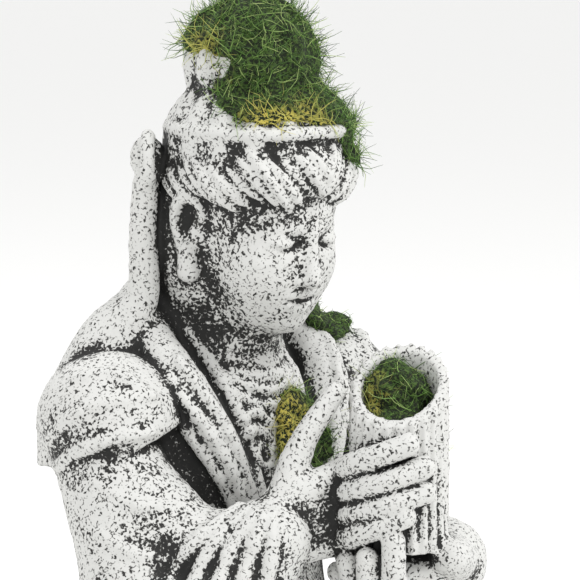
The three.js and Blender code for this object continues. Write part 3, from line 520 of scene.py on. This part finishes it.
def sculptFigure():
    reach = np.array([figureBase["halfWidth"], figureBase["halfDepth"], 0]) + clayGrid["margin"]
    size = np.ceil((2 * reach + [0, 0, clayGrid["height"]]) / cell).astype(int) + 1
    clay = Clay(-reach, np.full(size, 50, np.float32))
    for sculpt in (
        sculptBase, sculptLegs, sculptTorso, sculptMantle, sculptCollar, sculptNecklace, sculptHead,
        sculptHair, sculptVeil, sculptUpperArms, sculptSleeves, sculptCup, sculptHands,
    ):
        sculpt(clay)
    ground = clay.low[2] + cell * np.arange(clay.size[2])
    clay.value = np.maximum(clay.value, -ground.astype(np.float32))  # the underside is flat on the ground
    return clay


# Turns a grid of distances into a mesh of its surface, in millimetres.
def meshOf(clay, name):
    grid = openvdb.FloatGrid(3 * cell)
    grid.copyFromArray(np.clip(clay.value, -3 * cell, 3 * cell))
    grid.transform = openvdb.createLinearTransform(voxelSize=cell)
    points, quads = grid.convertToQuads(0.0)
    label = np.arange(len(points))  # only the largest closed surface is kept, without crumbs and bubbles
    while True:
        lowest = label[quads].min(axis=1)
        linked = label.copy()
        np.minimum.at(linked, label[quads], lowest[:, None])
        np.minimum.at(linked, quads, lowest[:, None])
        linked = linked[linked]
        if np.array_equal(linked, label):
            break
        label = linked
    quads = quads[label[quads[:, 0]] == np.bincount(label[quads[:, 0]]).argmax()]
    used, quads = np.unique(quads, return_inverse=True)
    mesh = bpy.data.meshes.new(name)
    mesh.from_pydata((points[used] + clay.low).tolist(), [], quads.reshape(-1, 4)[:, ::-1].tolist())
    return mesh


# Smooth noise from -1 to 1, with bumps of about the given size.
def lumpiness(points, size, seed):
    table = np.random.default_rng(seed).uniform(-1, 1, (32, 32, 32))
    whole = np.floor(points / size).astype(int)
    share = points / size - whole
    share = share * share * (3 - 2 * share)
    total = np.zeros(points.shape[:-1])
    for corner in range(8):
        step = np.array([corner & 1, corner >> 1 & 1, corner >> 2])
        weight = np.prod(np.where(step == 1, share, 1 - share), axis=-1)
        total += weight * table[tuple(np.moveaxis((whole + step) % 32, -1, 0))]
    return total


def pointsOf(mesh):
    points = np.zeros(3 * len(mesh.vertices))
    mesh.vertices.foreach_get("co", points)
    return points.reshape(-1, 3)


def normalsOf(mesh):
    normals = np.zeros(3 * len(mesh.vertices))
    mesh.vertex_normals.foreach_get("vector", normals)
    return normals.reshape(-1, 3)


def setPoints(mesh, points):
    mesh.vertices.foreach_set("co", points.ravel())
    mesh.update()


def store(mesh, name, values):
    attribute = mesh.attributes.new(name, "FLOAT", "POINT")
    attribute.data.foreach_set("value", np.asarray(values, np.float32))


# How much of the ball round each grid point is solid: over a half in creases, and under it on ridges.
def filledRound(solid, radius):
    reach = round(radius / cell)
    filled = solid
    for axis in range(3):
        edge = [(0, 0)] * 3
        edge[axis] = (reach + 1, reach)
        total = np.cumsum(np.pad(filled, edge, mode="edge"), axis=axis, dtype=np.float32)
        width = 2 * reach + 1
        count = filled.shape[axis]
        high = np.take(total, range(width, width + count), axis=axis)
        low = np.take(total, range(count), axis=axis)
        filled = (high - low) / width
    return filled


def make(name, mesh, body="root"):
    piece = bpy.data.objects.new(name, mesh)
    bpy.context.scene.collection.objects.link(piece)
    return piece


def applyModifiers(piece):
    made = bpy.data.meshes.new_from_object(piece.evaluated_get(bpy.context.evaluated_depsgraph_get()))
    piece.modifiers.clear()
    old = piece.data
    piece.data = made
    made.name = old.name + "_final"
    bpy.data.meshes.remove(old)


weathering = {"trianglesLeft": 190000, "swell": 0.16, "swellSize": 5.0, "pits": 0.14, "pitSize": 1.5}


def buildFigure(clay):
    mesh = meshOf(clay, "bodhisattva")
    points = pointsOf(mesh)
    swell = lumpiness(points, weathering["swellSize"], 1) * weathering["swell"]
    pits = np.minimum(lumpiness(points, weathering["pitSize"], 2) + 0.2, 0) * weathering["pits"] * 2
    raised = (points[:, 2] > 0.5)[:, None]
    setPoints(mesh, points + normalsOf(mesh) * (swell + pits)[:, None] * raised)
    piece = make("bodhisattva", mesh)
    thinned = piece.modifiers.new("thinned", "DECIMATE")
    thinned.ratio = weathering["trianglesLeft"] / (2 * len(mesh.polygons))
    applyModifiers(piece)
    points = pointsOf(piece.data)
    solid = (clay.value < 0).astype(np.float32)
    # These crease measures darken the stone's colour: partly the finish's dark wash, partly painted shade in
    # creases and hollows.
    for name, radius in (("creaseFine", 1.1), ("creaseWide", 3.3), ("creaseDeep", 8)):
        store(piece.data, name, sample(filledRound(solid, radius), clay.low, points, 0.5))
    setPoints(piece.data, points * toMetres)
    piece.data.shade_smooth()
    piece.data.materials.append(stoneMaterial())
    return piece


# Colours are linear, as the shader takes them.
stone = {
    "crevice": (0.01, 0.01, 0.009, 1),
    "shade": (0.045, 0.044, 0.04, 1),
    "pale": (0.36, 0.36, 0.345, 1),
    "bright": (0.64, 0.64, 0.62, 1),
    "ochre": (0.62, 0.5, 0.2, 1),
    "green": (0.32, 0.4, 0.08, 1),
    "bareResin": (0.3, 0.2, 0.14, 1),
    "roughness": 0.72,
    "grain": 0.62, "grainDepth": 0.15, "patches": 5.0, "paleness": 0.035,
}


class Shader:  # a material's node tree, with short ways to add to it
    def __init__(self, name):
        self.material = bpy.data.materials.new(name)
        self.material.use_nodes = True
        self.tree = self.material.node_tree
        self.surface = self.tree.nodes["Principled BSDF"]
        self.place = self.add("ShaderNodeTexCoord").outputs["Object"]

    def add(self, kind, inputs=None, **settings):
        node = self.tree.nodes.new(kind)
        for name, value in settings.items():
            setattr(node, name, value)
        for name, value in (inputs or {}).items():
            self.give(node.inputs[name], value)
        return node

    def give(self, socket, value):
        if isinstance(value, bpy.types.NodeSocket):
            self.tree.links.new(value, socket)
        else:
            socket.default_value = value

    def math(self, operation, a, b=0.0, clamp=False):
        node = self.add("ShaderNodeMath", operation=operation, use_clamp=clamp)
        self.give(node.inputs[0], a)
        self.give(node.inputs[1], b)
        return node.outputs[0]

    # Noise with marks of about the given size in millimetres.
    def noise(self, size, detail=2.0, distortion=0.0, place=None):
        inputs = {"Vector": place or self.place, "Scale": 1 / (size * toMetres), "Detail": detail}
        return self.add("ShaderNodeTexNoise", {**inputs, "Distortion": distortion}).outputs["Fac"]

    def attribute(self, name):
        return self.add("ShaderNodeAttribute", attribute_name=name).outputs["Fac"]

    def between(self, value, low, high, smooth=True):  # 0 below low, 1 above high
        inputs = {"Value": value, "From Min": low, "From Max": high}
        kind = "SMOOTHSTEP" if smooth else "LINEAR"
        return self.add("ShaderNodeMapRange", inputs, interpolation_type=kind).outputs["Result"]

    def mix(self, share, a, b, blend="MIX"):
        node = self.add("ShaderNodeMix", data_type="RGBA", blend_type=blend)
        self.give(node.inputs[0], share)
        self.give(node.inputs[6], a)
        self.give(node.inputs[7], b)
        return node.outputs[2]


def stoneMaterial():
    shader = Shader("weathered resin")
    grain = shader.noise(stone["grain"], detail=1.2, distortion=0.6)
    patchy = shader.noise(stone["patches"], detail=2.0)

    # How white a place is: ridges are worn pale and creases hold the dark wash of the finish; painted shade also
    # darkens creases and hollows, most widely through creaseDeep, and a painted highlight makes what faces up
    # paler.
    palenessWithPaintedLight = stone["paleness"]
    # Creases darken: partly the finish's dark wash, partly painted shade.
    for name, weight in (("creaseFine", 1.0), ("creaseWide", 0.75), ("creaseDeep", 0.45)):
        open_ = shader.math("SUBTRACT", 0.5, shader.attribute(name))
        palenessWithPaintedLight = shader.math("ADD", palenessWithPaintedLight, shader.math("MULTIPLY", open_, weight))
    facing = shader.add("ShaderNodeSeparateXYZ", {"Vector": shader.add("ShaderNodeNewGeometry").outputs["Normal"]})
    # Painted highlight: surfaces that face up are made paler.
    palenessWithPaintedLight = shader.math("ADD", palenessWithPaintedLight, shader.math("MULTIPLY", facing.outputs["Z"], 0.04))
    spread = shader.math("MULTIPLY", shader.math("SUBTRACT", patchy, 0.5), 0.45)
    palenessWithPaintedLight = shader.math("ADD", palenessWithPaintedLight, spread)
    palenessWithPaintedLight = shader.math("MAXIMUM", shader.math("MINIMUM", palenessWithPaintedLight, 0.15), -0.24)
    white = shader.math("ADD", shader.math("SUBTRACT", grain, 0.5), palenessWithPaintedLight)

    # The darkest colours go where the painted shade, the wash and the black speckle are deepest.
    colour = shader.mix(shader.between(white, -0.1, -0.01), stone["crevice"], stone["shade"])
    colour = shader.mix(shader.between(white, -0.02, 0.03), colour, stone["pale"])
    colour = shader.mix(shader.between(white, 0.02, 0.1), colour, stone["bright"])
    height = shader.between(white, -0.08, 0.08)
    bump = shader.add("ShaderNodeBump", {"Height": height, "Strength": 0.7})
    bump.inputs["Distance"].default_value = stone["grainDepth"] * toMetres
    shader.give(shader.surface.inputs["Base Color"], colour)
    shader.give(shader.surface.inputs["Normal"], bump.outputs["Normal"])
    shader.surface.inputs["Roughness"].default_value = stone["roughness"]
    return shader.material


# Moss lies on the figure wherever one of its patches reaches. Yellow gives places where it has dried.
mossPatches = {
    "moss_on_head": {
        "thickness": 0.9,
        "patches": [
            lump(at(0, 12, 176), [15, 15, 9.5]),
            lump(at(4, 18, 167), [15, 14, 10]),
            lump(at(-6, 22, 164), [11, 9, 7]),
            lump(at(6, 25, 162), [14, 10, 6]),
            lump(at(13, 26, 155), [7, 8, 6]),
        ],
        "yellow": [(at(-10, 11, 169), 5), (at(-10, 27, 157), 5), (at(-3, 30, 157), 5)],
        "blades": {"perMillimetre2": 1.7, "length": 6.2, "thickness": 0.13, "lay": 0.86, "seed": 3},
    },
    "moss_on_chest": {
        "thickness": 2.0,
        "patches": [lump(at(5, 20, 95), [6, 9, 9])],
        "yellow": [(at(0, 22, 98), 6)],
        "blades": {"perMillimetre2": 2.2, "length": 6.0, "thickness": 0.11, "lay": 0.8, "seed": 5},
    },
    "moss_on_shoulder": {
        "thickness": 2.2,
        "patches": [lump(at(25, 6, 117), [8, 8, 7])],
        "yellow": [],
        "blades": {"perMillimetre2": 2.2, "length": 3.2, "thickness": 0.12, "lay": 0.7, "seed": 7},
    },
    "moss_in_cup": {
        "thickness": 8,
        "patches": [lump(at(5, 46, 97), [8, 8, 7]), lump(at(8, 43, 105), [6.6, 6.6, 7])],
        "yellow": [(at(-3, 42, 106), 5)],
        "blades": {"perMillimetre2": 2.2, "length": 6.5, "thickness": 0.12, "lay": 0.65, "seed": 9},
    },
}
moss = {
    "sunk": 0.35, "ragged": 1.2, "raggedSize": 2.2, "lumpy": 0.7, "lumpySize": 3.4,
    "bedDark": (0.008, 0.014, 0.004, 1), "bedGreen": (0.06, 0.11, 0.02, 1), "bedYellow": (0.6, 0.5, 0.1, 1),
    "bladeDark": (0.02, 0.05, 0.008, 1), "bladeGreen": (0.12, 0.26, 0.04, 1),
    "bladePale": (0.5, 0.62, 0.22, 1), "bladeYellow": (0.75, 0.66, 0.16, 1),
}


def growMoss(clay, patches, thickness, seed):
    low = np.min([patch.box[0] for patch in patches], axis=0)
    high = np.max([patch.box[1] for patch in patches], axis=0)
    place, x, y, z = clay.part((low, high), 3)
    reach = patches[0].distance(x, y, z)
    for patch in patches[1:]:
        more = patch.distance(x, y, z)
        reach = np.minimum(reach, more) - soften(reach, more, 2)
    points = np.stack(np.broadcast_arrays(x, y, z), axis=-1)
    reach = reach + moss["ragged"] * lumpiness(points, moss["raggedSize"], seed)
    thick = thickness + moss["lumpy"] * lumpiness(points, moss["lumpySize"], seed + 1)
    figureThere = clay.value[place]
    value = np.maximum(np.maximum(reach, figureThere - thick), -moss["sunk"] - figureThere)
    return Clay(np.array([x[0, 0, 0], y[0, 0, 0], z[0, 0, 0]], float), value.astype(np.float32))


def bedMaterial():
    shader = Shader("moss bed")
    speckle = shader.between(shader.noise(0.7, detail=3.0), 0.42, 0.62)
    colour = shader.mix(speckle, moss["bedDark"], moss["bedGreen"])
    yellow = shader.math("MULTIPLY", shader.attribute("yellow"), shader.between(speckle, 0.2, 0.7))
    shader.give(shader.surface.inputs["Base Color"], shader.mix(yellow, colour, moss["bedYellow"]))
    shader.surface.inputs["Roughness"].default_value = 0.95
    bump = shader.add("ShaderNodeBump", {"Height": speckle, "Strength": 0.9})
    bump.inputs["Distance"].default_value = 0.3 * toMetres
    shader.give(shader.surface.inputs["Normal"], bump.outputs["Normal"])
    return shader.material


def bladeMaterial():
    shader = Shader("moss blades")
    tint, along, yellow = (shader.attribute(name) for name in ("tint", "along", "yellow"))
    colour = shader.mix(shader.between(tint, 0.05, 0.75), moss["bladeDark"], moss["bladeGreen"])
    pale = shader.math("MULTIPLY", shader.between(tint, 0.55, 1.0), shader.between(along, 0.0, 0.8))
    colour = shader.mix(pale, colour, moss["bladePale"])
    colour = shader.mix(shader.math("MULTIPLY", yellow, 0.9), colour, moss["bladeYellow"])
    shader.give(shader.surface.inputs["Base Color"], colour)
    shader.surface.inputs["Roughness"].default_value = 0.6
    return shader.material


# The Geometry Nodes tree that grows blades on a bed of moss.
def bladeTree(material):
    tree = bpy.data.node_groups.new("growBlades", "GeometryNodeTree")
    sockets = {}
    for name, kind, value in (
        ("Bed", "NodeSocketGeometry", None),
        ("Blades per m2", "NodeSocketFloat", 2e6),
        ("Length", "NodeSocketFloat", 0.007),
        ("Slimness", "NodeSocketFloat", 0.02),
        ("Lay", "NodeSocketFloat", 0.7),
        ("Seed", "NodeSocketInt", 1),
        ("Material", "NodeSocketMaterial", material),
    ):
        socket = tree.interface.new_socket(name, in_out="INPUT", socket_type=kind)
        if value is not None:
            socket.default_value = value
        sockets[name] = socket.identifier
    tree.interface.new_socket("Moss", in_out="OUTPUT", socket_type="NodeSocketGeometry")

    def add(kind, inputs=None, **settings):
        node = tree.nodes.new(kind)
        for name, value in settings.items():
            setattr(node, name, value)
        for name, value in (inputs or {}).items():
            give(node.inputs[name], value)
        return node

    def give(socket, value):
        if isinstance(value, bpy.types.NodeSocket):
            tree.links.new(value, socket)
        else:
            socket.default_value = value

    def vector(operation, a, b=(0, 0, 0), scale=None):
        node = add("ShaderNodeVectorMath", operation=operation)
        give(node.inputs[0], a)
        give(node.inputs[1], b)
        if scale is not None:
            give(node.inputs["Scale"], scale)
        return node.outputs["Value" if operation == "DOT_PRODUCT" else "Vector"]

    def number(operation, a, b):
        node = add("ShaderNodeMath", operation=operation)
        give(node.inputs[0], a)
        give(node.inputs[1], b)
        return node.outputs[0]

    def chance(low, high, kind="FLOAT", offset=0):
        node = add("FunctionNodeRandomValue", data_type=kind)
        for socket in node.inputs:
            if socket.enabled and socket.name in ("Min", "Max"):
                socket.default_value = low if socket.name == "Min" else high
        give(node.inputs["Seed"], number("ADD", given["Seed"], offset))
        return next(socket for socket in node.outputs if socket.enabled)

    given = {socket.name: socket for socket in add("NodeGroupInput").outputs if socket.name}
    spread = add(
        "GeometryNodeDistributePointsOnFaces",
        {"Mesh": given["Bed"], "Density": given["Blades per m2"], "Seed": given["Seed"]},
    )
    normal = spread.outputs["Normal"]

    # A few blades of unit length that bend over by different amounts.
    shapes = add("GeometryNodeJoinGeometry")
    outline = add("GeometryNodeCurvePrimitiveCircle", {"Resolution": 3, "Radius": 1.0})
    along = add("GeometryNodeSplineParameter").outputs["Factor"]
    taper = add("ShaderNodeMapRange", {"Value": along, "To Min": 1.0, "To Max": 0.2}).outputs["Result"]
    for bend in (0.1, 0.3, 0.5, 0.7):
        curve = add("GeometryNodeCurveQuadraticBezier", {"Resolution": 3})
        curve.inputs["Middle"].default_value = (0, 0, 0.6)
        curve.inputs["End"].default_value = (bend, 0, 1 - 0.5 * bend)
        curve.inputs["Start"].default_value = (0, 0, 0)
        marked = add("GeometryNodeStoreNamedAttribute", {"Geometry": curve.outputs["Curve"], "Name": "along"})
        give(marked.inputs["Value"], along)
        thread = add(
            "GeometryNodeCurveToMesh",
            {
                "Curve": marked.outputs["Geometry"],
                "Profile Curve": outline.outputs["Curve"],
                "Scale": number("MULTIPLY", taper, given["Slimness"]),
                "Fill Caps": True,
            },
        )
        single = add("GeometryNodeGeometryToInstance", {"Geometry": thread.outputs["Mesh"]})
        tree.links.new(single.outputs["Instances"], shapes.inputs["Geometry"])

    # Blades lean away from the bed's normal, and never into the bed.
    leaning = vector("SCALE", chance((-1, -1, -1), (1, 1, 1), "FLOAT_VECTOR"), scale=given["Lay"])
    upright = vector("SCALE", normal, scale=number("SUBTRACT", 1.0, given["Lay"]))
    way = vector("ADD", leaning, upright)
    out = vector("DOT_PRODUCT", way, normal)
    clear = number("SUBTRACT", number("MAXIMUM", out, 0.12), out)
    way = vector("ADD", way, vector("SCALE", normal, scale=clear))
    turn = add("FunctionNodeAlignRotationToVector", {"Vector": way}, axis="Z")
    spin = add("FunctionNodeAxisAngleToRotation", {"Axis": (0, 0, 1), "Angle": chance(0.0, math.tau, offset=20)})
    turned = add(
        "FunctionNodeRotateRotation",
        {"Rotation": turn.outputs["Rotation"], "Rotate By": spin.outputs["Rotation"]},
        rotation_space="LOCAL",
    )
    placed = add(
        "GeometryNodeInstanceOnPoints",
        {
            "Points": spread.outputs["Points"],
            "Instance": shapes.outputs["Geometry"],
            "Pick Instance": True,
            "Instance Index": chance(0, 3, "INT", 40),
            "Rotation": turned.outputs["Rotation"],
            "Scale": number("MULTIPLY", given["Length"], chance(0.35, 1.15, offset=60)),
        },
    )
    tinted = add(
        "GeometryNodeStoreNamedAttribute",
        {"Geometry": placed.outputs["Instances"], "Name": "tint", "Value": chance(0.0, 1.0, offset=80)},
        domain="INSTANCE",
    )
    named = add(
        "GeometryNodeStoreNamedAttribute",
        {"Geometry": tinted.outputs["Geometry"], "Name": "blade", "Value": 1.0},
        domain="INSTANCE",
    )
    both = add("GeometryNodeJoinGeometry")
    tree.links.new(given["Bed"], both.inputs["Geometry"])
    tree.links.new(named.outputs["Geometry"], both.inputs["Geometry"])
    real = add("GeometryNodeRealizeInstances", {"Geometry": both.outputs["Geometry"]})
    isBlade = add("GeometryNodeInputNamedAttribute", {"Name": "blade"}, data_type="FLOAT")
    chosen = add("FunctionNodeCompare", operation="GREATER_THAN")
    give(chosen.inputs[0], isBlade.outputs[0])
    give(chosen.inputs[1], 0.5)
    done = add(
        "GeometryNodeSetMaterial",
        {"Geometry": real.outputs["Geometry"], "Selection": chosen.outputs[0], "Material": given["Material"]},
    )
    give(add("NodeGroupOutput").inputs["Moss"], done.outputs["Geometry"])
    return tree, sockets


def buildMoss(clay, name, settings, tree, sockets, bedLook):
    blades = settings["blades"]
    mesh = meshOf(growMoss(clay, settings["patches"], settings["thickness"], blades["seed"]), name)
    points = pointsOf(mesh)
    yellow = np.zeros(len(points))
    for centre, radius in settings["yellow"]:
        away = np.linalg.norm(points - centre, axis=1) + 2 * lumpiness(points, 2, blades["seed"])
        yellow = np.maximum(yellow, np.clip(1.4 - away / radius, 0, 1))
    store(mesh, "yellow", yellow)
    setPoints(mesh, points * toMetres)
    mesh.materials.append(bedLook)
    mesh.shade_smooth()
    piece = make(name, mesh)
    grown = piece.modifiers.new("grown", "NODES")
    grown.node_group = tree
    grown[sockets["Blades per m2"]] = blades["perMillimetre2"] / toMetres**2
    grown[sockets["Length"]] = blades["length"] * toMetres
    grown[sockets["Slimness"]] = blades["thickness"] / blades["length"]
    grown[sockets["Lay"]] = blades["lay"]
    grown[sockets["Seed"]] = blades["seed"]
    applyModifiers(piece)
    return piece


print("sculpting the figure")
figureClay = sculptFigure()
print("weathering the figure")
figure = buildFigure(figureClay)
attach(figure, "root")
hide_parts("figure")
print("the figure has", len(figure.data.polygons), "faces")

tree, sockets = bladeTree(bladeMaterial())
bedLook = bedMaterial()
for node, settings in mossPatches.items():
    piece = buildMoss(figureClay, node + "_grown", settings, tree, sockets, bedLook)
    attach(piece, "root")
    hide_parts(node)
    print(node, "has", len(piece.data.polygons), "faces")

# The studio: a wide pale floor, soft lights, and the camera at the photograph's angle.
studio = {
    "aim": at(11.03, 11.03, 122.2) * toMetres, "azimuth": -45, "elevation": 8,
    "lens": 250, "sensor": 36, "widthSeen": 0.116,
    "floor": (0.93, 0.93, 0.92, 1), "air": (1.0, 1.0, 1.0, 1), "airStrength": 0.95,
    "lights": [  # azimuth, elevation, distance, size, watts
        (15, 50, 0.8, 0.35, 3.2),
        (-110, 35, 0.9, 0.6, 0.8),
        (170, 50, 0.9, 0.6, 1.2),
    ],
}


def awayFrom(aim, azimuth, elevation, distance):
    turn, lift = math.radians(azimuth), math.radians(elevation)
    back = Vector((math.sin(turn) * math.cos(lift), -math.cos(turn) * math.cos(lift), math.sin(lift)))
    return Vector(aim) + back * distance, (-back).to_track_quat("-Z", "Y")


def buildStudio():
    scene = bpy.context.scene
    floorMesh = bpy.data.meshes.new("floor")
    reach = 6.0
    corners = [(-reach, -reach, 0), (reach, -reach, 0), (reach, reach, 0), (-reach, reach, 0)]
    floorMesh.from_pydata(corners, [], [(0, 1, 2, 3)])
    floor = make("floor", floorMesh)
    look = Shader("pale floor")
    look.surface.inputs["Base Color"].default_value = studio["floor"]
    look.surface.inputs["Roughness"].default_value = 0.9
    floorMesh.materials.append(look.material)

    world = bpy.data.worlds.new("studio air")
    scene.world = world
    world.use_nodes = True
    air = world.node_tree.nodes["Background"]
    air.inputs["Color"].default_value = studio["air"]
    air.inputs["Strength"].default_value = studio["airStrength"]

    for number, (azimuth, elevation, distance, size, watts) in enumerate(studio["lights"]):
        light = bpy.data.lights.new(f"soft light {number}", "AREA")
        light.shape = "DISK"
        light.size = size
        light.energy = watts
        lamp = bpy.data.objects.new(light.name, light)
        scene.collection.objects.link(lamp)
        lamp.location, lamp.rotation_mode = awayFrom(studio["aim"], azimuth, elevation, distance)[0], "QUATERNION"
        lamp.rotation_quaternion = awayFrom(studio["aim"], azimuth, elevation, distance)[1]

    data = bpy.data.cameras.new("camera")
    data.lens, data.sensor_width = studio["lens"], studio["sensor"]
    camera = bpy.data.objects.new("camera", data)
    scene.collection.objects.link(camera)
    distance = studio["widthSeen"] / studio["sensor"] * studio["lens"]
    camera.rotation_mode = "QUATERNION"
    camera.location, camera.rotation_quaternion = awayFrom(
        studio["aim"], studio["azimuth"], studio["elevation"], distance
    )
    data.clip_start, data.clip_end = 0.05, 20
    scene.camera = camera
    scene.view_settings.view_transform = "Standard"


buildStudio()
print("the studio is set")
